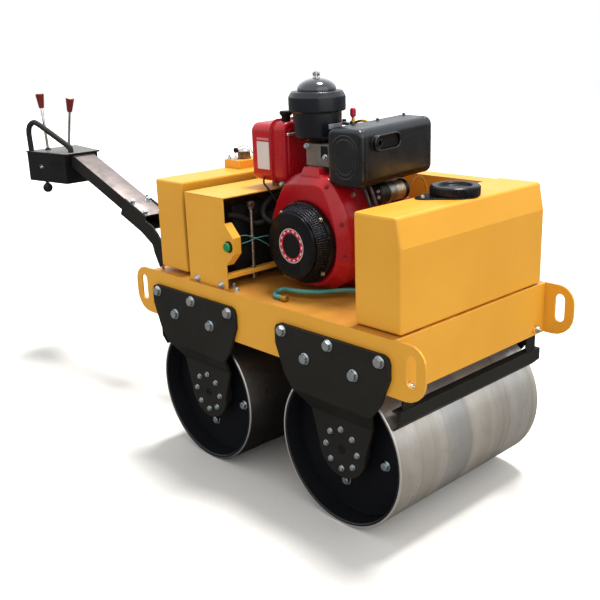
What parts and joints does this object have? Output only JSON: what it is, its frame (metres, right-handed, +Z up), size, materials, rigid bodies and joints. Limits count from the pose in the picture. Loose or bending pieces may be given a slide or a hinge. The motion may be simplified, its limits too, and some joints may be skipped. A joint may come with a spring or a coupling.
{
  "type": "walk-behind double drum road roller",
  "caption": "Walk-behind vibratory roller: two steel drums under a plate frame, open diesel engine, water tank and a tilting handle.",
  "frame": {"origin": "centre of the whole machine's box at ground level", "axes": "+X to the front (water tank), +Y to the left, +Z up"},
  "size_m": [2.253, 0.68, 1.1537],
  "materials": {
    "yellow_paint": "orange-yellow enamel, satin to gloss",
    "black_paint": "black enamel, satin",
    "heatproof_black": "black stove enamel, half gloss",
    "red_paint": "deep red enamel, gloss",
    "drum_steel": "rolled and turned steel, faint scratches along and round",
    "machined_steel": "machined",
    "bare_steel": "pale galvanised top, black sides",
    "cast_aluminium": "sand cast, matt",
    "black_plastic": "moulded, matt",
    "chrome": "bright plated",
    "lever_grip": "dark red moulded grip on a bright rod",
    "teal_hose": "smooth teal hose",
    "brass": "turned"
  },
  "bodies": {
    "chassis": {"air_cleaner": "heatproof_black", "battery": "black_plastic", "belt_guard": "yellow_paint", "breather_cap": "chrome", "cooling_shroud": "red_paint", "crankcase": "cast_aluminium", "cross_beam": "yellow_paint", "cross_plate_front": "yellow_paint", "cross_plate_rear": "yellow_paint", "cylinder": "cast_aluminium", "cylinder_head": "cast_aluminium", "deck_fitting": "brass", "deck_plate": "yellow_paint", "engine_base": "yellow_paint", "fuel_cap": "black_plastic", "fuel_tank": "red_paint", "handle_bracket": "black_paint", "hanger_front_left": "black_paint", "hanger_front_right": "black_paint", "hanger_rear_left": "black_paint", "hanger_rear_right": "black_paint", "muffler": "heatproof_black", "oil_tank": "yellow_paint", "output_shaft": "machined_steel", "pump_cover_left": "yellow_paint", "pump_cover_right": "yellow_paint", "pump_cover_top": "yellow_paint", "recoil_starter": "black_plastic", "rocker_cover": "cast_aluminium", "scraper_front": "black_paint", "scraper_rear": "black_paint", "side_member_left": "yellow_paint", "side_member_right": "yellow_paint", "sprinkler_pipe_front": "black_plastic", "sprinkler_pipe_rear": "black_plastic", "starter_motor": "cast_aluminium", "tie_bar": "yellow_paint", "water_hose": "teal_hose", "water_tank": "yellow_paint", "water_tank_cap": "black_plastic"},
    "front_drum": {"drum_front_axle": "black_paint", "drum_front_shell": "drum_steel"},
    "rear_drum": {"drum_rear_axle": "black_paint", "drum_rear_shell": "drum_steel"},
    "handle": {"console": "black_paint", "grab_loop": "black_plastic", "hand_knob": "black_plastic", "handle_arm": "bare_steel", "handle_fork": "black_paint", "throttle_lever": "lever_grip", "travel_lever": "lever_grip"}
  },
  "joints": [
    {"name": "front_drum_roll", "type": "hinge", "parent": "chassis", "child": "front_drum", "pos_m": [0.8265, 0, 0.2125], "axis": [0, 1, 0], "continuous": true},
    {"name": "rear_drum_roll", "type": "hinge", "parent": "chassis", "child": "rear_drum", "pos_m": [0.2605, 0, 0.2125], "axis": [0, 1, 0], "continuous": true},
    {"name": "handle_tilt", "type": "hinge", "parent": "chassis", "child": "handle", "pos_m": [-0.2225, 0, 0.4535], "axis": [0, 1, 0], "range_deg": [0, 70]}
  ]
}
